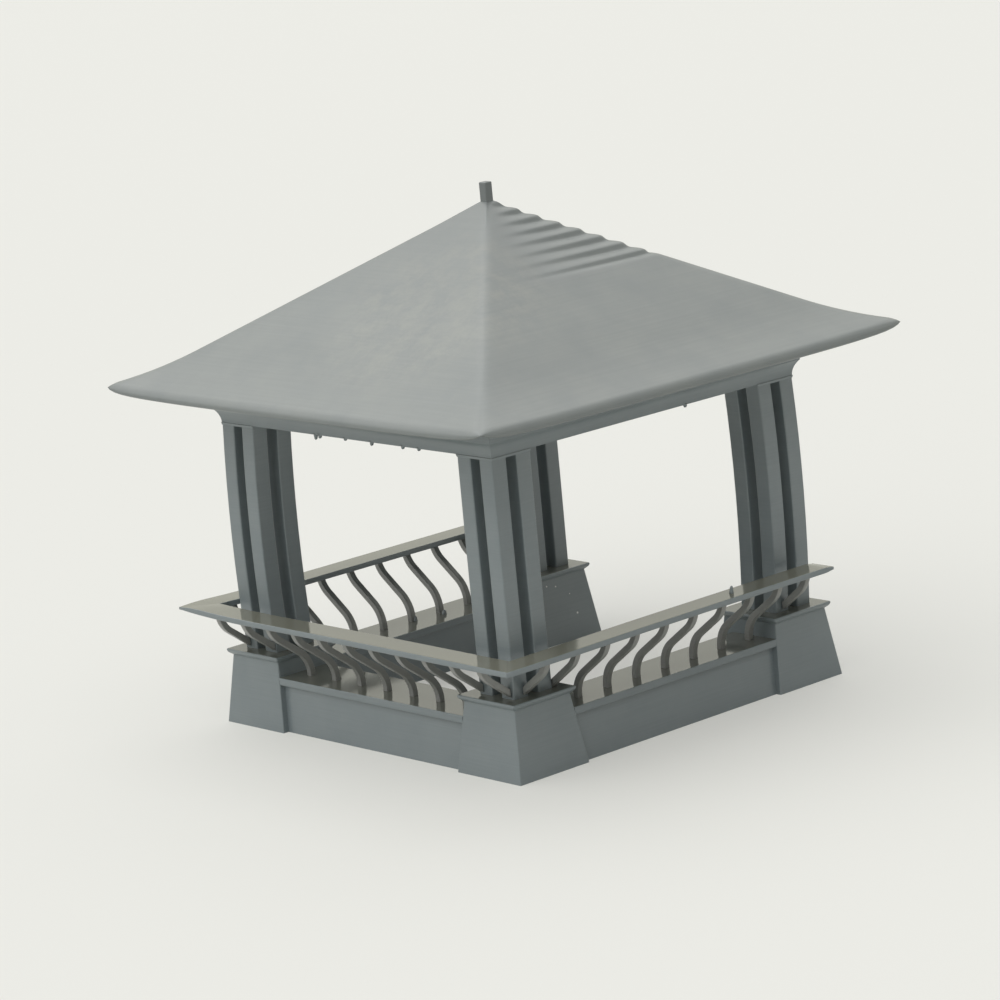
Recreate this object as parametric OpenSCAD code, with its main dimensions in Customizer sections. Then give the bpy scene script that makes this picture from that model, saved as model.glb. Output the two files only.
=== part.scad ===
// Model of a square garden pavilion with a hipped roof, at model railway size (1:87).
// The ground is z = 0, the centre of the base is the origin and the open side faces -Y.

/* [Plinths] */
// Side of the base, over the feet of the corner plinths
base_side = 35; // [32:0.5:40]
// Width of a plinth at the ground
plinth_w = 7.1; // [6.6:0.1:7.6]
// Height of a plinth below its cap
plinth_h = 5.5; // [5.2:0.1:7]
// How far each face of a plinth leans in over its height
plinth_batter = 0.7; // [0.4:0.05:0.9]
// Thickness of the cap
cap_t = 0.55; // [0.45:0.05:0.8]
// Overhang of the cap
cap_over = 0.36; // [0.2:0.02:0.5]
// Height of the sloping underside of the cap
cap_slope = 0.3; // [0.1:0.05:0.4]

/* [Bench] */
// Set-back of the bench wall from the plinth faces
wall_recess = 0.5; // [0.3:0.05:0.7]
// Height of the seat above the ground
seat_h = 4.35; // [3.8:0.05:4.7]
// Thickness of the seat slab
seat_t = 0.6; // [0.4:0.05:0.8]
// Depth of the seat slab
seat_w = 4.85; // [4.4:0.05:5.2]
// Overhang of the seat slab outside the wall
seat_over = 0.43; // [0.2:0.01:0.5]
// Overhang of the seat slab on the room side
seat_lip = 0.35; // [0.2:0.05:0.6]
// Radius of the long edges of the seat slab
seat_round = 0.08; // [0.04:0.01:0.18]

/* [Posts] */
// Width of a cluster of four posts
cluster_w = 3.88; // [3.5:0.02:4.2]
// How far a cluster stands out from the middle of its plinth, towards both outer sides
cluster_off = 0.1; // [0:0.05:0.3]
// Width of one square post
post_w = 1.44; // [1.1:0.02:1.6]
// Length of the posts, from the plinth cap to the capital
post_h = 18.25; // [16:0.05:21]
// Outward bow of the posts at mid height, along the diagonal
post_bow = 0.26; // [0.1:0.02:0.6]
// Height of the capital
capital_h = 0.2; // [0.1:0.05:0.6]
// How far the capital spreads over its height
capital_flare = 0.05; // [0:0.05:0.2]

/* [Beams] */
// Depth of a beam from its outer face to its inner face, at the bottom
beam_w = 2.6; // [2:0.1:3.4]
// Height of a beam at its outer face
beam_h = 5.5; // [4.5:0.1:6.5]
// How far the cove spreads the outer face of a beam
cove_out = 0.5; // [0.3:0.05:0.7]
// Height of the cove
cove_h = 1.2; // [0.9:0.1:1.6]

/* [Balustrade] */
// Overhang of the rail beyond the base
rail_over = 2.07; // [1.8:0.01:2.6]
// Width of the rail
rail_w = 2.37; // [2.2:0.01:2.6]
// Thickness of the rail
rail_t = 0.45; // [0.3:0.05:0.8]
// Height of the top of the rail above the seat
rail_h = 5.3; // [5:0.1:6]
// Radius of the long edges of the rail
rail_round = 0.06; // [0.03:0.01:0.14]
// Distance from the front ends of the side rails to the middle of the base
rail_front = 15.3; // [13:0.1:17]
// Thickness of a baluster
baluster_w = 0.5; // [0.4:0.05:0.7]
// Distance between balusters
baluster_pitch = 3.1; // [2:0.1:4]
// Radius of the bend above the seat
belly_r = 2.45; // [2.2:0.05:2.7]
// Height of the middle of that bend above the seat
belly_h = 0.16; // [0:0.02:0.24]
// Lean of the middle stretch of a baluster, from the level
baluster_lean = 36.5; // [33:0.5:40]
// Radius of the bend below the rail
crook_r = 2.2; // [1.8:0.1:2.6]
// Lean of a baluster where it meets the rail, from the level
crook_lean = 78; // [70:1:85]
// Distance from the outer edge of the rail to the middle of a baluster
crook_in = 0.87; // [0.3:0.01:1.2]

/* [Roof] */
// Width of the roof over the eaves
roof_w = 44.4; // [42:0.2:50]
// Pitch of the slopes
roof_pitch = 30.5; // [24:0.5:36]
// Thickness of the roof, measured upright
roof_t = 0.8; // [0.6:0.05:1.2]
// How far the eaves flare up from the straight slope
eave_lift = 0.5; // [0.1:0.05:0.8]
// How much further the four tips turn up
tip_lift = 0.36; // [0.1:0.02:1]
// How much further the eaves reach out towards the four tips
tip_reach = 0.25; // [0:0.05:0.6]
// How far the rounding of the four tips takes them back in plan
tip_round = 0.28; // [0.1:0.02:0.4]
// Share of the thickness that the roof loses at the four tips
tip_thin = 0.5; // [0:0.05:0.8]
// Depth of the rounding of the eave
eave_round = 0.6; // [0.3:0.05:1]
// Width of the square finial
finial_w = 0.76; // [0.5:0.02:1.2]
// Height of the finial above the roof
finial_h = 1.3; // [0.8:0.1:3]

/* [Hidden] */
$fn = 64;

// Turn about Z that carries the back side, or the back right corner, to its place
BACK = 0;
LEFT = 90;
FRONT = 180;
RIGHT = -90;
resin = [0.47, 0.51, 0.52];
pale_resin = [0.56, 0.58, 0.57];
far = 100;
join = 0.02;

base_half = base_side / 2;
batter_k = plinth_batter / plinth_h;
plinth_mid = base_half - plinth_w / 2;
plinth_in = base_half - plinth_w;
plinth_top_w = plinth_w - 2 * plinth_batter;
cap_w = plinth_top_w + 2 * cap_over;
cap_in = plinth_mid - cap_w / 2;
cap_top = plinth_h + cap_t;

seat_z = seat_h - seat_t;
wall_out = base_half - wall_recess;
seat_out = wall_out - batter_k * seat_z + seat_over;
seat_in = seat_out - seat_w;
wall_in = seat_in + seat_lip;

post_pitch = cluster_w - post_w;
post_top = cap_top + post_h;
cluster_mid = plinth_mid + cluster_off;
cluster_out = cluster_mid + cluster_w / 2;
cluster_in = cluster_mid - cluster_w / 2;
bow_r = (pow(post_h / 2, 2) + pow(post_bow, 2)) / (2 * post_bow);
bow_angle = 2 * asin((post_h / 2 + post_w) / bow_r);

beam_z = post_top + capital_h;
beam_out = cluster_out + cove_out;
beam_in = cluster_out - beam_w;
cove_r = (pow(cove_out, 2) + pow(cove_h, 2)) / (2 * cove_out);

pitch_k = tan(roof_pitch);
eave_r = roof_w / 2;
flare_r = beam_out + cove_out;
apex_z = beam_z + beam_h + pitch_k * beam_out + roof_t;
flare_steps = 7;
round_steps = 5;
panel_columns = 16;
tip_power = 6;
reach_power = 8;
thin_power = 24;
corner_power = 40;
// Share of the thickness that the rounding of the eave takes from each side
round_share = 0.42;

rail_out = base_half + rail_over;
rail_in = rail_out - rail_w;
rail_top = seat_h + rail_h;
rail_z = rail_top - rail_t;

// Balusters stand at even distances as far out as the post clusters: along the back rail with one in
// the middle, along the side rails with a gap in the middle of the inner edge
bar_end = cluster_out - baluster_w / 2;
back_bars = [0, for (x = [baluster_pitch:baluster_pitch:bar_end]) each [-x, x]];
side_mid = (rail_in - rail_front) / 2;
side_bars = concat(
    [for (y = [side_mid + baluster_pitch / 2:baluster_pitch:bar_end]) y],
    [for (y = [side_mid - baluster_pitch / 2:-baluster_pitch:baluster_w - rail_front]) y]
);
// Balusters in front of a cluster end at this distance from the middle, just clear of the bowed posts
bar_in = cluster_out + post_bow / 4;

// Centre line of a baluster in Y and Z: a bend above the seat, a straight lean and a bend up to the rail
lean_dir = [cos(baluster_lean), sin(baluster_lean)];
lean_normal = [-sin(baluster_lean), cos(baluster_lean)];
crook_end = rail_out - crook_in;
crook_mid = [crook_end - crook_r * sin(crook_lean), rail_z + crook_r * cos(crook_lean)];
lean_top = crook_mid - crook_r * lean_normal;
lean_length = (lean_top.y - belly_r * lean_normal.y - seat_h - belly_h) / lean_dir.y;
lean_foot = lean_top - lean_length * lean_dir;
belly_mid = lean_foot - belly_r * lean_normal;
// Bends run on past the seat and the rail by this angle, and are cut level there
run_on = 8;

// Height of the underside of the straight slope at the distance r from the middle
function under_roof(r) = apex_z - roof_t - pitch_k * r;

// How far the flare has come at the distance r from the middle, from 0 at its start to 1 at the eave
function flare(r) = pow(max(0, (r - flare_r) / (eave_r - flare_r)), 2);

// Height of the top of the roof at the distance r from the middle, at the share v of the way to the hip
function roof_top(r, v) =
    apex_z - pitch_k * r + flare(r) * (eave_lift + tip_lift * pow(abs(v), tip_power));

// Thickness of the roof there, which falls off towards the tips
function roof_depth(r, v) = roof_t * (1 - tip_thin * flare(r) * pow(abs(v), thin_power));

// Distance from the middle that the eave reaches there, with its tips drawn out and rounded in plan
function roof_reach(r, v) =
    r + flare(r) * (tip_reach * pow(abs(v), reach_power) - tip_round * pow(abs(v), corner_power));

// What the rounding of the eave takes from the top and from the underside there
function eave_drop(r, v) =
    let (u = min(1, max(0, 1 - (eave_r - r) / eave_round)))
    round_share * roof_depth(r, v) * (1 - sqrt(1 - u * u));

module turned(turn) {
    rotate([0, 0, turn]) children();
}

// Profile in Y and Z, drawn along X
module along_x(length) {
    rotate([90, 0, 90]) linear_extrude(length, center = true) children();
}

// Outline in X and Z, drawn along Y
module along_y(length) {
    rotate([90, 0, 0]) linear_extrude(length, center = true) children();
}

// Square block with the same outline, half of it given as widths and heights, on all four sides
module squared_block(half) {
    outline = concat(
        [for (p = half) [-p.x / 2, p.y]],
        [for (i = [len(half) - 1:-1:0]) [half[i].x / 2, half[i].y]]
    );
    intersection() {
        along_x(far) polygon(outline);
        along_y(far) polygon(outline);
    }
}

// The space between two plinths, from the height low to the height high
module between_plinths(low, high) {
    x_low = plinth_in + batter_k * low;
    x_high = plinth_in + batter_k * high;
    along_y(far) polygon([[-x_low, low], [x_low, low], [x_high, high], [-x_high, high]]);
}

// Profile with rounded corners, from the origin to the right and up
module rounded_profile(width, height, radius) {
    translate([radius, 0]) square([width - 2 * radius, height]);
    translate([0, radius]) square([width, height - 2 * radius]);
    for (x = [radius, width - radius], y = [radius, height - radius])
        translate([x, y]) circle(radius);
}

module plinth(turn) {
    color(resin) turned(turn) translate([plinth_mid, plinth_mid, 0])
        squared_block([[plinth_w, 0], [plinth_top_w, plinth_h]]);
}

module plinth_cap(turn) {
    color(pale_resin) turned(turn) translate([plinth_mid, plinth_mid, plinth_h])
        squared_block([[plinth_top_w, 0], [cap_w, cap_slope], [cap_w, cap_t]]);
}

module wall(turn) {
    color(resin) turned(turn) intersection() {
        along_x(far) polygon([
            [wall_in, 0],
            [wall_out, 0],
            [wall_out - batter_k * seat_z, seat_z],
            [wall_in, seat_z]
        ]);
        between_plinths(0, seat_z);
    }
}

module seat(turn) {
    color(pale_resin) turned(turn) intersection() {
        along_x(far) translate([seat_in, seat_z]) rounded_profile(seat_w, seat_t, seat_round);
        between_plinths(seat_z, seat_h);
    }
}

// One square post, bowed along the diagonal, with its foot on the plinth cap
module post() {
    intersection() {
        translate([0, 0, cap_top + post_h / 2]) rotate([0, 0, 45])
            translate([post_bow - bow_r, 0, 0]) rotate([90, 0, 0]) rotate([0, 0, -bow_angle / 2])
                rotate_extrude(angle = bow_angle) translate([bow_r, 0]) rotate(45)
                    square(post_w, center = true);
        translate([0, 0, cap_top + post_h / 2]) cube([far, far, post_h], center = true);
    }
}

module posts(turn) {
    color(resin) turned(turn) translate([cluster_mid, cluster_mid, 0])
        for (x = [-1, 1], y = [-1, 1])
            translate([x * post_pitch / 2, y * post_pitch / 2, 0]) post();
}

module capital(turn) {
    color(resin) turned(turn) translate([cluster_mid, cluster_mid, post_top])
        squared_block([[cluster_w, 0], [cluster_w + 2 * capital_flare, capital_h]]);
}

// Beam with a coved outer face and a top that follows the slope, mitred at the corners
module beam(turn) {
    color(resin) turned(turn) intersection() {
        along_x(far) difference() {
            polygon([
                [beam_in, beam_z],
                [beam_out, beam_z],
                [beam_out, under_roof(beam_out)],
                [beam_in, under_roof(beam_in)]
            ]);
            translate([cluster_out + cove_r, beam_z]) circle(cove_r);
        }
        linear_extrude(far) polygon([[0, 0], [far, far], [-far, far]]);
    }
}

// Board with rounded long edges along one side, cut to its outline in plan
module rail(turn, outline) {
    color(pale_resin) intersection() {
        turned(turn) along_x(far) translate([rail_in, rail_z]) rounded_profile(rail_w, rail_t, rail_round);
        linear_extrude(far) polygon(outline);
    }
}

module back_rail() {
    rail(BACK, [[-rail_out, rail_out], [rail_out, rail_out], [rail_in, rail_in], [-rail_in, rail_in]]);
}

module side_rail(turn, side) {
    rail(turn, [
        [side * rail_out, rail_out],
        [side * rail_out, -rail_front],
        [side * rail_in, -rail_front],
        [side * rail_in, rail_in]
    ]);
}

// Part of a ring round the origin, from one angle to another
module arc_bar(radius, from, to) {
    reach = 4 * radius;
    intersection() {
        difference() {
            circle(radius + baluster_w / 2);
            circle(radius - baluster_w / 2);
        }
        polygon([[0, 0], for (i = [0:4]) let (a = from + (to - from) * i / 4) reach * [cos(a), sin(a)]]);
    }
}

module baluster_outline(foot) {
    intersection() {
        union() {
            translate(belly_mid) arc_bar(belly_r, 90 + baluster_lean - 1, 180 + run_on);
            translate(lean_foot) rotate(baluster_lean) translate([-join, -baluster_w / 2])
                square([lean_length + 2 * join, baluster_w]);
            translate(crook_mid) arc_bar(crook_r, baluster_lean - 90 - 1, crook_lean - 90 + run_on);
        }
        translate(foot) square([far, rail_z - foot.y]);
    }
}

// Balusters at the given places along a rail, with their feet on the seat, on a plinth cap or at the posts
module balusters(turn, places) {
    color(resin) turned(turn) for (x = places) {
        edge = abs(x) + baluster_w / 2;
        foot_z = edge < cap_in ? seat_h : cap_top;
        foot_r = edge < cluster_in ? 0 : bar_in;
        translate([x, 0, 0]) along_x(baluster_w) baluster_outline([foot_r, foot_z]);
    }
}

// One slope of the roof, from the finial to the eave, mitred at the hips
module roof_slope(turn) {
    round_r = eave_r - eave_round;
    radii = concat([finial_w / 2, flare_r],
        [for (i = [1:flare_steps]) flare_r + (round_r - flare_r) * i / flare_steps],
        [for (i = [1:round_steps]) round_r + eave_round * sin(90 * i / round_steps)]);
    shares = [for (j = [-1:2 / panel_columns:1]) sign(j) * (1 - pow(1 - abs(j), 2))];
    rows = len(radii);
    columns = panel_columns + 1;
    size = rows * columns;
    plan = [for (r = radii, v = shares) roof_reach(r, v) * [v, 1]];
    high = [for (r = radii, v = shares) roof_top(r, v) - eave_drop(r, v)];
    low = [for (r = radii, v = shares) roof_top(r, v) - roof_depth(r, v) + eave_drop(r, v)];
    top = [for (i = [0:size - 1]) [plan[i].x, plan[i].y, high[i]]];
    bottom = [for (i = [0:size - 1]) [plan[i].x, plan[i].y, low[i]]];
    cells = [for (i = [0:rows - 2], j = [0:panel_columns - 1]) i * columns + j];
    faces = concat(
        [for (c = cells) [c, c + columns, c + columns + 1]],
        [for (c = cells) [c, c + columns + 1, c + 1]],
        [for (c = cells) [size + c, size + c + columns + 1, size + c + columns]],
        [for (c = cells) [size + c, size + c + 1, size + c + columns + 1]],
        [for (i = [0:rows - 2]) let (c = i * columns) [c, size + c, size + c + columns, c + columns]],
        [for (i = [0:rows - 2]) let (c = i * columns + panel_columns)
            [c, c + columns, size + c + columns, size + c]],
        [for (j = [0:panel_columns - 1]) [j, j + 1, size + j + 1, size + j]],
        [for (j = [0:panel_columns - 1]) let (c = (rows - 1) * columns + j)
            [c, size + c, size + c + 1, c + 1]]
    );
    color(pale_resin) turned(turn) polyhedron(concat(top, bottom), faces);
}

module finial() {
    low = under_roof(finial_w / 2);
    color(resin) translate([-finial_w / 2, -finial_w / 2, low])
        cube([finial_w, finial_w, apex_z + finial_h - low]);
}

plinth(LEFT);  // plinth_back_left
plinth(BACK);  // plinth_back_right
plinth(FRONT);  // plinth_front_left
plinth(RIGHT);  // plinth_front_right
plinth_cap(LEFT);  // cap_back_left
plinth_cap(BACK);  // cap_back_right
plinth_cap(FRONT);  // cap_front_left
plinth_cap(RIGHT);  // cap_front_right
wall(BACK);  // back_wall
wall(LEFT);  // left_wall
wall(RIGHT);  // right_wall
seat(BACK);  // back_seat
seat(LEFT);  // left_seat
seat(RIGHT);  // right_seat
posts(LEFT);  // posts_back_left
posts(BACK);  // posts_back_right
posts(FRONT);  // posts_front_left
posts(RIGHT);  // posts_front_right
capital(LEFT);  // capital_back_left
capital(BACK);  // capital_back_right
capital(FRONT);  // capital_front_left
capital(RIGHT);  // capital_front_right
beam(BACK);  // back_beam
beam(LEFT);  // left_beam
beam(RIGHT);  // right_beam
beam(FRONT);  // front_beam
back_rail();
side_rail(LEFT, -1);  // left_rail
side_rail(RIGHT, 1);  // right_rail
balusters(BACK, back_bars);  // back_balusters
balusters(LEFT, side_bars);  // left_balusters
balusters(RIGHT, -side_bars);  // right_balusters
roof_slope(BACK);  // roof_back
roof_slope(LEFT);  // roof_left
roof_slope(RIGHT);  // roof_right
roof_slope(FRONT);  // roof_front
finial();
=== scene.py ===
import math

import bmesh
import bpy
from mathutils import Matrix, Vector


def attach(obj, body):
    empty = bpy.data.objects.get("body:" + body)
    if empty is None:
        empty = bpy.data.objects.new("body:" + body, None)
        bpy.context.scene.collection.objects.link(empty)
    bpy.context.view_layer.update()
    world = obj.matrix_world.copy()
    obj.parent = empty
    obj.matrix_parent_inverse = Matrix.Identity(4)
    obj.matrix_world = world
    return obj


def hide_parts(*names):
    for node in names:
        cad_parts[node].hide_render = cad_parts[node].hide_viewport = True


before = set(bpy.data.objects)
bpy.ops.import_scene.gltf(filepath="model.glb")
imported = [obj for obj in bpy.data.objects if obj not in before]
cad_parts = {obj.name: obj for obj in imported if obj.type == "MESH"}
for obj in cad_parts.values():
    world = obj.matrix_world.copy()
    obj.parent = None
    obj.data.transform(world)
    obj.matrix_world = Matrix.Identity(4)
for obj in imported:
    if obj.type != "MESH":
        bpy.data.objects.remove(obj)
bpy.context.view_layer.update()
MM = 0.001

# Camera at the photograph's viewing angle, in the part's frame
CAMERA_AZIMUTH = math.radians(228.90)
CAMERA_ELEVATION = math.radians(12.40)
CAMERA_ROLL = math.radians(-5.46)
CAMERA_TARGET = Vector((-0.26, 1.82, 16.70)) * MM
CAMERA_DISTANCE = 323.75 * MM
CAMERA_LENS = 147.6
CAMERA_CLIP = (0.01, 10)

# Pale floor, which also glows a little for the camera and in gloss, and the backdrop behind it
FLOOR_HALF = 3.0
FLOOR_COLOR = (0.77, 0.77, 0.725)
FLOOR_ROUGHNESS, FLOOR_SPECULAR = 0.9, 0.2
FLOOR_GLOW = (0.82, 0.82, 0.78)
FLOOR_GLOW_SHARE = 0.4
SKY_COLOR = (1, 1, 1)
SKY_STRENGTH = 0.25
BACKDROP_COLOR = (1, 1, 0.89)
BACKDROP_STRENGTH = 0.81
# Each lamp's strength, the direction it shines from and the angle it fills
LAMPS = {
    "lamp": (2.25, Vector((0.10, 0.46, 0.88)), math.radians(105)),
    "back_lamp": (0.8, Vector((0.43, -0.38, 0.82)), math.radians(60)),
}

# Dark and pale tones of the resin; the bars take a paler, warmer copy of it, which is painted light,
# and the roof a darker copy, which is painted shade
BODY_TONES = ((0.178, 0.210, 0.220), (0.203, 0.235, 0.243))
BAR_PAINTED_LIGHT_TONES = ((0.240, 0.245, 0.232), (0.270, 0.273, 0.256))
ROOF_SHADED_TONES = ((0.167, 0.186, 0.186), (0.197, 0.214, 0.207))
RESIN_IOR = 1.6
BODY_ROUGHNESS, ROOF_ROUGHNESS = 0.30, 0.36
# How far the roughness goes below and above that of the resin
SATIN_BELOW, SATIN_ABOVE = 0.01, 0.03
# Scale per millimetre, detail and roughness of each noise, and the range of it that is used
CLOUD_NOISE, CLOUD_RANGE = (0.22, 4.0, 0.6), (0.3, 0.7)
SATIN_NOISE, SATIN_RANGE = (0.5, 2.0, 0.5), (0.2, 0.8)
LAYER_NOISE, LAYER_RANGE = (1.0, 1.0, 0.5), (0.3, 0.7)
PATCH_NOISE, PATCH_RANGE = (0.5, 4.0, 0.7), (0.4, 0.7)
# Layer lines: fine in height and long on the level, a little darker, with a slight bump
LAYER_STRETCH = (0.12, 0.12, 9.0)
LAYER_SHARE, LAYER_SHADE = 0.25, 0.85
LAYER_BUMP, LAYER_DEPTH = 0.10, 0.03 * MM
# Flat tops, whose colour is a painted reflection of the backdrop, pale on the rails and darkened by
# painted shade on the seats: how far up they face, and the heights over which the seats' colour turns
# to the rails'
TOP_FACING = (0.93, 0.99)
TOP_HEIGHTS = (6.5, 9.0)
TOP_PAINT_SHARE, TOP_ROUGHNESS = 0.8, 0.08
SEAT_SHADE_AND_REFLECTION_COLOR = (0.165, 0.165, 0.128)
RAIL_REFLECTION_COLOR = (0.250, 0.243, 0.178)
# Bright specks of dust on the inner face of the front right plinth: their places and radii
SPECKS = (
    ((10.67, -15.16, 2.12), 0.11),
    ((11.01, -13.26, 4.79), 0.08),
    ((11.04, -12.28, 5.01), 0.08),
    ((10.89, -14.66, 3.87), 0.06),
)
SPECK_COLOR = (0.72, 0.72, 0.70)
# Pale patchy spot on the back slope of the roof, and its dark top
PALE_SPOT_AT, PALE_SPOT_RADIUS = (-5.0, 11.0, 34.0), 11.0
PALE_SPOT_COLOR, PALE_SPOT_SHARE = (0.262, 0.268, 0.242), 0.55
PEAK_HEIGHTS = (33.0, 42.0)
PEAK_COLOR, PEAK_SHARE = (0.122, 0.138, 0.140), 0.62
# Share of a spot's radius that takes its full colour
SPOT_CORE = 0.6

# Sizes in millimetres, unless they say otherwise
PLINTH_H = 5.5
# Width of the rounding of each kind of edge
SOFT_PLINTH, SOFT_CAP, SOFT_POST, SOFT_BAR, SOFT_BEAM, SOFT_FINIAL = 0.10, 0.11, 0.12, 0.05, 0.03, 0.10
SOFT_SEGMENTS = 3
# Edges up to this length are closed before the rounding, which they would spoil
SHORT_EDGE = 0.03 * MM
# Points count as level with each other, or as in one plane, up to this distance
TOUCH = 0.01 * MM
FLAT_ANGLE, SHARP_ANGLE = math.radians(0.3), math.radians(30)
FACE_WEIGHT = 90

# Roof: half its width, where the flare begins, the height where the slopes would meet, and the pitch
EAVE, FLARE, APEX, PITCH = 22.2, 16.99, 40.513, math.tan(math.radians(30.5))
ROOF_T, EAVE_LIFT, EAVE_ROUND = 0.8, 0.5, 0.6
# Share of the thickness that the rounded eave loses on each side
EAVE_THIN = 0.46
# What the tips are lifted, drawn out, rounded and thinned by, and how close to the tip each keeps
TIP_LIFT, TIP_REACH, TIP_ROUND, TIP_THIN = 0.36, 0.25, 0.28, 0.5
LIFT_POWER, REACH_POWER, ROUND_POWER, THIN_POWER = 6, 8, 40, 24
# Soft hips: their depth, half their width, and the distance from the peak where they are complete
HIP_DEPTH, HIP_HALF, HIP_FULL = 0.10, 0.7, 3
# Steps that the print shows at the front left hip: their height, depth and the height of the topmost
TERRACE_PERIOD, TERRACE_DEPTH, TERRACE_TOP = 0.672, 0.19, 39.5
# Where they begin and end down the slope, how they grow towards the hip, and the share of a step's
# height over which it deepens
TERRACE_FROM, TERRACE_TO = (0.3, 1.2), (8.6, 9.6)
TERRACE_FADE = (0.15, 0.85)
TERRACE_RISE = 0.7
# Columns of the roof's mesh on half a side, and its rings: fine in the upper part, coarse below,
# close at the rounded eave, and few on the underside
ROOF_COLUMNS = 14
FINE_STEP, FINE_COUNT = 0.1, 140
COARSE_FROM, COARSE_STEP, COARSE_COUNT = 14.1, 0.5, 16
RING_GAP = 0.05
EAVE_STEPS, FLARE_STEPS = 10, 8
UNDER_RADII = (0.1, 6, 12)

# Rail: its inner and outer edge, its underside and top, its front end and its rounding
RAIL_IN, RAIL_OUT, RAIL_LOW, RAIL_TOP, RAIL_FRONT = 17.2, 19.57, 9.2, 9.65, 15.3
RAIL_ROUND, ROUND_STEPS = 0.07, 4
# Lift of the back right tip, sag of the near one, and thinning at the tip and at the front ends,
# each with the distance over which it fades
RAIL_LIFT, RAIL_LIFT_FADE = 0.22, 4.5
RAIL_SAG, RAIL_SAG_FADE = 0.12, 12
RAIL_TIP_THIN, RAIL_TIP_FADE = 0.5, 1.2
RAIL_END_THIN, RAIL_END_FADE = 0.45, 0.5
# Rings of the rail's mesh: steps along a side, those of them at its end that are cut finer, the rings
# there, steps along half the back, and the rings close to the tips as shares of that half
SIDE_STEPS, END_STEPS, END_RINGS, BACK_STEPS = 30, 2, 8, 16
TIP_GAPS = (0.01, 0.02, 0.04)

# Stubs of print supports: name, foot, tip and the radius at each
STUBS = (
    ("stub_rail", (-18.4, -5.05, 9.6), (-18.42, -5.1, 10.25), 0.19, 0.09),
    ("stub_foot_a", (14.75, -0.75, 4.3), (14.78, -0.8, 4.75), 0.22, 0.16),
    ("stub_foot_b", (14.2, -3.5, 4.3), (14.2, -3.55, 4.7), 0.22, 0.14),
)
# Stubs under the beams: where they are along the back beam, and their lengths
BEAM_STUBS = ((4.47, 0.45), (3.95, 0.3), (-2.21, 0.32), (-5.84, 0.25), (-7.69, 0.22), (0.9, 0.2))
BEAM_MID, BEAM_STUB_FOOT, BEAM_LOW = 15.85, 24.6, 24.5
BEAM_STUB_LEAN, BEAM_STUB_RADII = 0.05, (0.2, 0.1)
LEFT_STUB_FOOT, LEFT_STUB_TIP = (-BEAM_MID, -4.2, BEAM_STUB_FOOT), (-BEAM_MID, -4.25, 24.25)
STUB_RINGS, STUB_SIDES = 7, 10
# Share of the radius that the blunt tip keeps, where it starts, and the stub's bend
STUB_BLUNT, STUB_BLUNT_FROM, STUB_BEND, STUB_BEND_TURN = 0.35, 0.97, 0.02, 3

CORNERS = ("back_left", "back_right", "front_left", "front_right")
BENCH_SIDES = ("back", "left", "right")
ALL_SIDES = ("back", "left", "right", "front")


def make_camera():
    back = Vector((
        math.sin(CAMERA_AZIMUTH) * math.cos(CAMERA_ELEVATION),
        -math.cos(CAMERA_AZIMUTH) * math.cos(CAMERA_ELEVATION),
        math.sin(CAMERA_ELEVATION),
    ))
    level = Vector((math.cos(CAMERA_AZIMUTH), math.sin(CAMERA_AZIMUTH), 0))
    upright = back.cross(level)
    right = math.cos(CAMERA_ROLL) * level + math.sin(CAMERA_ROLL) * upright
    up = math.cos(CAMERA_ROLL) * upright - math.sin(CAMERA_ROLL) * level
    place = CAMERA_TARGET + CAMERA_DISTANCE * back
    data = bpy.data.cameras.new("camera")
    data.lens = CAMERA_LENS
    data.clip_start, data.clip_end = CAMERA_CLIP
    camera = bpy.data.objects.new("camera", data)
    camera.matrix_world = Matrix((
        (right.x, up.x, back.x, place.x),
        (right.y, up.y, back.y, place.y),
        (right.z, up.z, back.z, place.z),
        (0, 0, 0, 1),
    ))
    bpy.context.scene.collection.objects.link(camera)
    bpy.context.scene.camera = camera


def opaque(color):
    return (*color, 1)


def seen_ray(nodes, links):
    """1 for what the camera sees, also in a gloss or through glass."""
    path = nodes.new("ShaderNodeLightPath")
    seen = path.outputs["Is Camera Ray"]
    for kind in ("Is Glossy Ray", "Is Transmission Ray"):
        larger = nodes.new("ShaderNodeMath")
        larger.operation = "MAXIMUM"
        links.new(seen, larger.inputs[0])
        links.new(path.outputs[kind], larger.inputs[1])
        seen = larger.outputs[0]
    return seen


def make_floor():
    mesh = bpy.data.meshes.new("floor")
    corners = [(x * FLOOR_HALF, y * FLOOR_HALF, 0) for x, y in ((-1, -1), (1, -1), (1, 1), (-1, 1))]
    mesh.from_pydata(corners, [], [(0, 1, 2, 3)])
    floor = bpy.data.objects.new("floor", mesh)
    bpy.context.scene.collection.objects.link(floor)
    material = bpy.data.materials.new("floor")
    material.use_nodes = True
    nodes = material.node_tree.nodes
    links = material.node_tree.links
    shader = nodes["Principled BSDF"]
    shader.inputs["Base Color"].default_value = opaque(FLOOR_COLOR)
    shader.inputs["Roughness"].default_value = FLOOR_ROUGHNESS
    shader.inputs["Specular IOR Level"].default_value = FLOOR_SPECULAR
    glow = nodes.new("ShaderNodeEmission")
    glow.inputs["Color"].default_value = opaque(FLOOR_GLOW)
    share = nodes.new("ShaderNodeMath")
    share.operation = "MULTIPLY"
    links.new(seen_ray(nodes, links), share.inputs[0])
    share.inputs[1].default_value = FLOOR_GLOW_SHARE
    mix = nodes.new("ShaderNodeMixShader")
    links.new(share.outputs[0], mix.inputs[0])
    links.new(shader.outputs[0], mix.inputs[1])
    links.new(glow.outputs[0], mix.inputs[2])
    links.new(mix.outputs[0], nodes["Material Output"].inputs["Surface"])
    mesh.materials.append(material)


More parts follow.
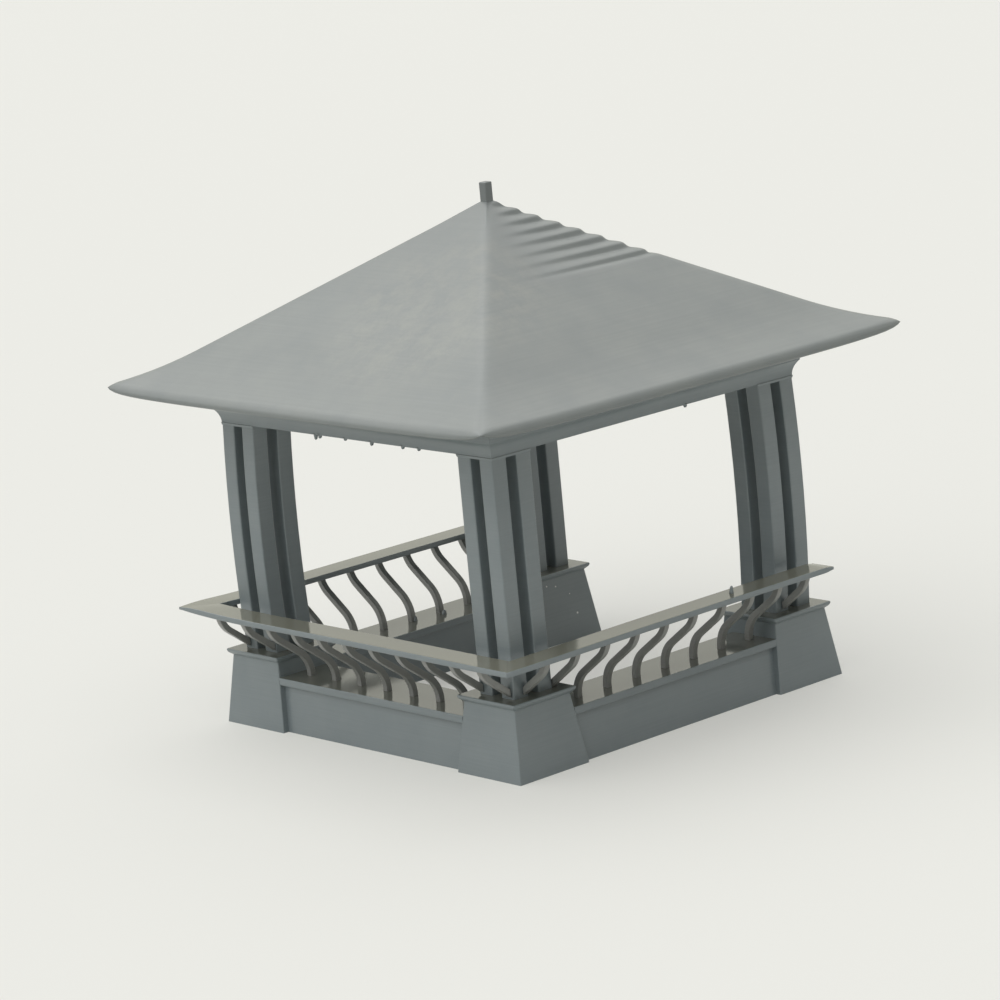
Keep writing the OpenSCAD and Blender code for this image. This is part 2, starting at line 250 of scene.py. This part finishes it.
def make_light():
    """A dim sky that shows as a pale backdrop, and soft lamps."""
    world = bpy.data.worlds.new("world")
    world.use_nodes = True
    nodes = world.node_tree.nodes
    links = world.node_tree.links
    sky = nodes["Background"]
    sky.inputs["Color"].default_value = opaque(SKY_COLOR)
    sky.inputs["Strength"].default_value = SKY_STRENGTH
    backdrop = nodes.new("ShaderNodeBackground")
    backdrop.inputs["Color"].default_value = opaque(BACKDROP_COLOR)
    backdrop.inputs["Strength"].default_value = BACKDROP_STRENGTH
    mix = nodes.new("ShaderNodeMixShader")
    links.new(seen_ray(nodes, links), mix.inputs[0])
    links.new(sky.outputs[0], mix.inputs[1])
    links.new(backdrop.outputs[0], mix.inputs[2])
    links.new(mix.outputs[0], nodes["World Output"].inputs["Surface"])
    bpy.context.scene.world = world

    for name, (strength, shines_from, spread) in LAMPS.items():
        data = bpy.data.lights.new(name, "SUN")
        data.energy = strength
        data.angle = spread
        lamp = bpy.data.objects.new(name, data)
        lamp.rotation_euler = shines_from.to_track_quat("Z", "Y").to_euler()
        bpy.context.scene.collection.objects.link(lamp)


class Graph:
    """Short calls for building a material's nodes."""

    def __init__(self, name):
        self.material = bpy.data.materials.new(name)
        self.material.use_nodes = True
        self.nodes = self.material.node_tree.nodes
        self.links = self.material.node_tree.links
        self.shader = self.nodes["Principled BSDF"]

    def feed(self, socket, value):
        if hasattr(value, "is_output"):
            self.links.new(value, socket)
        else:
            socket.default_value = value

    def math(self, operation, first, second):
        node = self.nodes.new("ShaderNodeMath")
        node.operation = operation
        self.feed(node.inputs[0], first)
        self.feed(node.inputs[1], second)
        return node.outputs[0]

    def spread(self, value, low, high, out_low=0.0, out_high=1.0):
        node = self.nodes.new("ShaderNodeMapRange")
        node.clamp = True
        self.feed(node.inputs["Value"], value)
        node.inputs["From Min"].default_value = low
        node.inputs["From Max"].default_value = high
        node.inputs["To Min"].default_value = out_low
        node.inputs["To Max"].default_value = out_high
        return node.outputs[0]

    def place(self, scale=(1, 1, 1)):
        """Place on the part in millimetres, stretched by a scale."""
        geometry = self.nodes.new("ShaderNodeNewGeometry")
        node = self.nodes.new("ShaderNodeVectorMath")
        node.operation = "MULTIPLY"
        self.links.new(geometry.outputs["Position"], node.inputs[0])
        node.inputs[1].default_value = [s / MM for s in scale]
        return node.outputs[0]

    def height(self):
        """Height above the ground in millimetres."""
        node = self.nodes.new("ShaderNodeSeparateXYZ")
        self.links.new(self.place(), node.inputs[0])
        return node.outputs["Z"]

    def upward(self):
        """How far the surface faces up, from -1 to 1."""
        geometry = self.nodes.new("ShaderNodeNewGeometry")
        node = self.nodes.new("ShaderNodeSeparateXYZ")
        self.links.new(geometry.outputs["True Normal"], node.inputs[0])
        return node.outputs["Z"]

    def noise(self, place, scale, detail, roughness):
        node = self.nodes.new("ShaderNodeTexNoise")
        self.links.new(place, node.inputs["Vector"])
        node.inputs["Scale"].default_value = scale
        node.inputs["Detail"].default_value = detail
        node.inputs["Roughness"].default_value = roughness
        return node.outputs["Fac"]

    def near(self, place, point, radius):
        """1 close to a point, falling to 0 at a radius in millimetres."""
        node = self.nodes.new("ShaderNodeVectorMath")
        node.operation = "DISTANCE"
        self.links.new(place, node.inputs[0])
        node.inputs[1].default_value = point
        return self.spread(node.outputs["Value"], SPOT_CORE * radius, radius, 1.0, 0.0)

    def mix(self, share, first, second):
        node = self.nodes.new("ShaderNodeMix")
        node.data_type = "RGBA"
        self.feed(node.inputs["Factor"], share)
        colors = [s for s in node.inputs if s.type == "RGBA"]
        self.feed(colors[0], first)
        self.feed(colors[1], second)
        return [s for s in node.outputs if s.type == "RGBA"][0]

    def bump(self, height, strength, distance):
        node = self.nodes.new("ShaderNodeBump")
        self.links.new(height, node.inputs["Height"])
        node.inputs["Strength"].default_value = strength
        node.inputs["Distance"].default_value = distance
        self.links.new(node.outputs["Normal"], self.shader.inputs["Normal"])


def make_resin(name, tones, roughness):
    """Satin printing resin: cloudy grey with level layer lines."""
    dark, pale = tones
    graph = Graph(name)
    place = graph.place()
    clouds = graph.spread(graph.noise(place, *CLOUD_NOISE), *CLOUD_RANGE)
    tone = graph.mix(clouds, opaque(dark), opaque(pale))
    layers = graph.noise(graph.place(LAYER_STRETCH), *LAYER_NOISE)
    lines = graph.spread(layers, *LAYER_RANGE, 0.0, LAYER_SHARE)
    tone = graph.mix(lines, tone, opaque([LAYER_SHADE * c for c in dark]))
    gloss = graph.noise(place, *SATIN_NOISE)
    satin = graph.spread(gloss, *SATIN_RANGE, roughness - SATIN_BELOW, roughness + SATIN_ABOVE)
    graph.shader.inputs["IOR"].default_value = RESIN_IOR
    graph.bump(layers, LAYER_BUMP, LAYER_DEPTH)
    return graph, tone, satin


def make_body_resin(name, tones):
    """The resin of the body: flat tops as smooth as a mirror, with a painted reflection in their
    colour and painted shade on the seats, and specks of dust on one plinth.
    """
    graph, tone, satin = make_resin(name, tones, BODY_ROUGHNESS)
    facing = graph.spread(graph.upward(), *TOP_FACING)
    at_rail = graph.spread(graph.height(), *TOP_HEIGHTS)
    # Painted reflection and shade: tops that face up take a warm colour, dark on the seats and pale on
    # the rails
    top = graph.mix(at_rail, opaque(SEAT_SHADE_AND_REFLECTION_COLOR), opaque(RAIL_REFLECTION_COLOR))
    tone = graph.mix(graph.math("MULTIPLY", facing, TOP_PAINT_SHARE), tone, top)
    polish = graph.math("MULTIPLY", facing, BODY_ROUGHNESS - TOP_ROUGHNESS)
    graph.feed(graph.shader.inputs["Roughness"], graph.math("SUBTRACT", satin, polish))
    specks = 0.0
    for point, radius in SPECKS:
        specks = graph.math("MAXIMUM", specks, graph.near(graph.place(), point, radius))
    tone = graph.mix(specks, tone, opaque(SPECK_COLOR))
    graph.feed(graph.shader.inputs["Base Color"], tone)
    return graph.material


def make_roof_resin(name, tones):
    """A darker copy of the resin for the roof, which is painted shade, darker still at the top, with a
    pale patchy spot on the back slope.
    """
    graph, tone, satin = make_resin(name, tones, ROOF_ROUGHNESS)
    graph.feed(graph.shader.inputs["Roughness"], satin)
    patches = graph.spread(graph.noise(graph.place(), *PATCH_NOISE), *PATCH_RANGE)
    pale_spot = graph.math("MULTIPLY", graph.near(graph.place(), PALE_SPOT_AT, PALE_SPOT_RADIUS), patches)
    tone = graph.mix(graph.math("MULTIPLY", pale_spot, PALE_SPOT_SHARE), tone, opaque(PALE_SPOT_COLOR))
    peak = graph.spread(graph.height(), *PEAK_HEIGHTS, 0.0, PEAK_SHARE)
    tone = graph.mix(peak, tone, opaque(PEAK_COLOR))
    graph.feed(graph.shader.inputs["Base Color"], tone)
    return graph.material


resin = make_body_resin("resin_satin", BODY_TONES)
# Painted light: the bars get a paler, warmer copy of the body resin
painted_light_bar_resin = make_body_resin("bar_resin_painted_light", BAR_PAINTED_LIGHT_TONES)
# Painted shade: the roof and the finial get a darker copy of the resin
painted_shade_roof_resin = make_roof_resin("roof_resin_painted_shade", ROOF_SHADED_TONES)


def new_piece(name, mesh, nodes, material):
    """A finished piece of the part, standing for some of its nodes or for none."""
    mesh.materials.clear()
    mesh.materials.append(material)
    mesh.polygons.foreach_set("use_smooth", [True] * len(mesh.polygons))
    piece = bpy.data.objects.new(name, mesh)
    bpy.context.scene.collection.objects.link(piece)
    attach(piece, "root")
    if nodes:
        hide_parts(*nodes)
    return piece


def even_shading(piece):
    """Large faces shade flat, and the rounding stays on the edges."""
    modifier = piece.modifiers.new("even_shading", "WEIGHTED_NORMAL")
    modifier.weight = FACE_WEIGHT
    modifier.keep_sharp = True


def no_edge(edge):
    return False


def on_mitre(edge):
    """Whether an edge lies in the upright plane where two sides meet at a corner."""
    return all(abs(abs(v.co.x) - abs(v.co.y)) < TOUCH for v in edge.verts)


def on_level(edge):
    """Whether an edge is level, as where a piece stands on another."""
    return abs(edge.verts[0].co.z - edge.verts[1].co.z) < TOUCH


def on_plinth(edge):
    """Whether an edge lies where a cap meets its plinth."""
    return all(abs(v.co.z - PLINTH_H * MM) < TOUCH for v in edge.verts)


def is_sharp(edge):
    return len(edge.link_faces) == 2 and edge.calc_face_angle(0) > SHARP_ANGLE


def soften(node, width, keep=no_edge, material=resin):
    """The node's shape with its sharp edges, but not those to keep, rounded off by a width."""
    edit = bmesh.new()
    edit.from_mesh(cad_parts[node].data)
    bmesh.ops.remove_doubles(edit, verts=edit.verts, dist=SHORT_EDGE)
    bmesh.ops.dissolve_limit(edit, angle_limit=FLAT_ANGLE, verts=edit.verts, edges=edit.edges)
    sharp = [e for e in edit.edges if is_sharp(e)]
    for edge in filter(keep, sharp):
        edge.smooth = False
    sharp = [e for e in sharp if e.smooth]
    bmesh.ops.bevel(
        edit, geom=sharp, offset=width * MM, offset_type="OFFSET", segments=SOFT_SEGMENTS,
        profile=0.5, affect="EDGES", clamp_overlap=False,
    )
    mesh = bpy.data.meshes.new(node + "_soft")
    edit.to_mesh(mesh)
    edit.free()
    even_shading(new_piece(node + "_soft", mesh, [node], material))


def dress(node):
    """A node whose shape is right keeps it and takes the finish."""
    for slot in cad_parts[node].material_slots:
        slot.material = resin


def smoothstep(low, high, value):
    share = min(1.0, max(0.0, (value - low) / (high - low)))
    return share * share * (3 - 2 * share)


def fade(distance, reach):
    """1 at a point, and next to nothing at twice the reach from it."""
    return math.exp(-(distance / reach) ** 2)


def shell_mesh(name, rings, closed):
    """A watertight mesh from rings of points; closed joins the last ring to the first."""
    count = len(rings[0])
    points = [tuple(MM * c for c in point) for ring in rings for point in ring]
    faces = []
    for i in range(len(rings) if closed else len(rings) - 1):
        j = (i + 1) % len(rings)
        for k in range(count):
            n = (k + 1) % count
            faces.append((i * count + k, i * count + n, j * count + n, j * count + k))
    mesh = bpy.data.meshes.new(name)
    mesh.from_pydata(points, [], faces)
    edit = bmesh.new()
    edit.from_mesh(mesh)
    bmesh.ops.holes_fill(edit, edges=[e for e in edit.edges if e.is_boundary], sides=0)
    bmesh.ops.recalc_face_normals(edit, faces=edit.faces)
    if edit.calc_volume(signed=True) < 0:
        bmesh.ops.reverse_faces(edit, faces=edit.faces)
    edit.to_mesh(mesh)
    edit.free()
    return mesh


def make_roof():
    """All four slopes as one shell: flared rounded eaves, soft hips and the terraces at one hip.

    A point has r, the distance from the middle to its side, and v, from -1 to 1 along that side.
    """

    def flare(r):
        return max(0.0, (r - FLARE) / (EAVE - FLARE)) ** 2

    def top(r, v):
        return APEX - PITCH * r + flare(r) * (EAVE_LIFT + TIP_LIFT * abs(v) ** LIFT_POWER)

    def depth(r, v):
        return ROOF_T * (1 - TIP_THIN * flare(r) * abs(v) ** THIN_POWER)

    def reach(r, v):
        drawn_out = TIP_REACH * abs(v) ** REACH_POWER - TIP_ROUND * abs(v) ** ROUND_POWER
        return r + flare(r) * drawn_out

    def eave_drop(r, v):
        u = min(1.0, max(0.0, 1 - (EAVE - r) / EAVE_ROUND))
        return EAVE_THIN * depth(r, v) * (1 - math.sqrt(1 - u * u))

    def hip_drop(r, v):
        gap = (1 - abs(v)) * r
        return HIP_DEPTH * max(0.0, 1 - gap / HIP_HALF) ** 2 * min(1.0, r / HIP_FULL)

    def terrace(r, z, share):
        size = TERRACE_DEPTH * smoothstep(*TERRACE_FADE, share)
        size *= smoothstep(*TERRACE_FROM, r)
        size *= 1 - smoothstep(*TERRACE_TO, r)
        phase = (z - TERRACE_TOP) / TERRACE_PERIOD % 1
        return size * (smoothstep(0.0, TERRACE_RISE, phase) - smoothstep(TERRACE_RISE, 1.0, phase))

    # Places along a side, closer together at its ends
    even = [i / ROOF_COLUMNS for i in range(ROOF_COLUMNS, -ROOF_COLUMNS, -1)]
    columns = [math.copysign(1 - (1 - abs(j)) ** 2, j) for j in even]

    def ring(r, height):
        points = []
        for side in range(4):
            for v in columns:
                x, y = v * reach(r, v), reach(r, v)
                for _ in range(side):
                    x, y = -y, x
                points.append((x, y, height(r, v, side)))
        return points

    def upper(r, v, side):
        z = top(r, v) - eave_drop(r, v) - hip_drop(r, v)
        # Side 1 is the left slope and side 2 the front slope; the terraces are at their hip
        share = {1: (1 - v) / 2, 2: (1 + v) / 2}.get(side, 0.0)
        return z - terrace(r, z, share)

    def lower(r, v, side):
        return top(r, v) - depth(r, v) + eave_drop(r, v)

    edge = EAVE - EAVE_ROUND
    over = [FINE_STEP + FINE_STEP * i for i in range(FINE_COUNT)]
    over += [COARSE_FROM + COARSE_STEP * i for i in range(COARSE_COUNT)]
    over = [r for r in over if r < edge - RING_GAP]
    over.append(edge)
    turns = [math.radians(90 / EAVE_STEPS * i) for i in range(1, EAVE_STEPS + 1)]
    rounded = [edge + EAVE_ROUND * math.sin(turn) for turn in turns]
    under = [*UNDER_RADII, FLARE]
    under += [FLARE + (edge - FLARE) * i / FLARE_STEPS for i in range(1, FLARE_STEPS + 1)]
    rings = [ring(r, upper) for r in over + rounded]
    rings += [ring(r, lower) for r in reversed(under + rounded)]
    mesh = shell_mesh("roof_shell", rings, True)
    slopes = ["roof_back", "roof_left", "roof_right", "roof_front"]
    new_piece("roof_shell", mesh, slopes, painted_shade_roof_resin)


def make_rail():
    """The U-shaped rail as one board with rounded edges; its back right tip is thin and lifted."""
    half = (RAIL_TOP - RAIL_LOW) / 2
    middle = (RAIL_TOP + RAIL_LOW) / 2
    outline = []
    for outer, up, start in ((1, 1, 0), (0, 1, 90), (0, -1, 180), (1, -1, 270)):
        across = RAIL_OUT - RAIL_ROUND if outer else RAIL_IN + RAIL_ROUND
        for i in range(ROUND_STEPS + 1):
            angle = math.radians(start + 90 / ROUND_STEPS * i)
            height = up * (half - RAIL_ROUND) + RAIL_ROUND * math.sin(angle)
            outline.append((across + RAIL_ROUND * math.cos(angle), height))

    def lift(x, y):
        to_tip = math.hypot(x - RAIL_OUT, y - RAIL_OUT)
        to_near = math.hypot(x + RAIL_OUT, y - RAIL_OUT)
        return RAIL_LIFT * fade(to_tip, RAIL_LIFT_FADE) - RAIL_SAG * fade(to_near, RAIL_SAG_FADE)

    def thin(x, y):
        at_tip = fade(math.hypot(x - RAIL_OUT, y - RAIL_OUT), RAIL_TIP_FADE)
        at_end = fade(y + RAIL_FRONT, RAIL_END_FADE)
        return 1 - RAIL_TIP_THIN * at_tip - RAIL_END_THIN * at_end

    def section(place):
        ring = []
        for u, h in outline:
            x, y = place(u)
            ring.append((x, y, middle + lift(x, y) + h * thin(x, y)))
        return ring

    def on_side(sign, share):
        return section(lambda u: (sign * u, (1 - share) * u - share * RAIL_FRONT))

    def on_back(share):
        return section(lambda u: (share * u, u))

    plain_steps = SIDE_STEPS - END_STEPS
    ends = [1 - (1 - i / END_RINGS) ** 2 for i in range(1, END_RINGS + 1)]
    along = [i / SIDE_STEPS for i in range(1, plain_steps + 1)]
    along += [plain_steps / SIDE_STEPS + END_STEPS / SIDE_STEPS * e for e in ends]
    even = {i / BACK_STEPS for i in range(-BACK_STEPS, BACK_STEPS + 1)}
    close = {sign * (1 - gap) for gap in TIP_GAPS for sign in (1, -1)}
    rings = [on_side(-1, share) for share in reversed(along)]
    rings += [on_back(share) for share in sorted(even | close)]
    rings += [on_side(1, share) for share in along]
    mesh = shell_mesh("rail_board", rings, False)
    rails = ["back_rail", "left_rail", "right_rail"]
    even_shading(new_piece("rail_board", mesh, rails, resin))


def make_stub(name, foot, tip, foot_r, tip_r):
    """What is left of a print support: a short bent cone from foot to tip."""
    foot, tip = Vector(foot), Vector(tip)
    axis = (tip - foot).normalized()
    side = axis.orthogonal().normalized()
    other = axis.cross(side)
    last = STUB_RINGS - 1
    angles = [2 * math.pi * k / STUB_SIDES for k in range(STUB_SIDES)]
    rings = []
    for i in range(STUB_RINGS):
        share = i / last
        radius = foot_r + (tip_r - foot_r) * share
        if i == last:
            radius *= STUB_BLUNT
        bend = STUB_BEND * math.sin(STUB_BEND_TURN * share)
        middle = foot.lerp(tip, min(share, STUB_BLUNT_FROM)) + bend * side
        rings.append([
            tuple(middle + radius * (math.cos(a) * side + math.sin(a) * other)) for a in angles
        ])
    new_piece(name, shell_mesh(name, rings, False), [], resin)


def make_stubs():
    for stub in STUBS:
        make_stub(*stub)
    for i, (x, length) in enumerate(BEAM_STUBS):
        foot = (x, BEAM_MID, BEAM_STUB_FOOT)
        tip = (x + BEAM_STUB_LEAN, BEAM_MID, BEAM_LOW - length)
        make_stub(f"stub_beam_{i}", foot, tip, *BEAM_STUB_RADII)
    make_stub("stub_beam_left", LEFT_STUB_FOOT, LEFT_STUB_TIP, *BEAM_STUB_RADII)


def make_body():
    for corner in CORNERS:
        soften("plinth_" + corner, SOFT_PLINTH, on_level)
        soften("cap_" + corner, SOFT_CAP, on_plinth)
        soften("posts_" + corner, SOFT_POST, on_level)
        dress("capital_" + corner)
    for side in BENCH_SIDES:
        dress(side + "_wall")
        dress(side + "_seat")
        soften(side + "_balusters", SOFT_BAR, on_level, material=painted_light_bar_resin)
    for side in ALL_SIDES:
        soften(side + "_beam", SOFT_BEAM, on_mitre)
    soften("finial", SOFT_FINIAL, material=painted_shade_roof_resin)


make_camera()
make_floor()
make_light()
make_body()
make_roof()
make_rail()
make_stubs()
bpy.context.scene.view_settings.view_transform = "Standard"
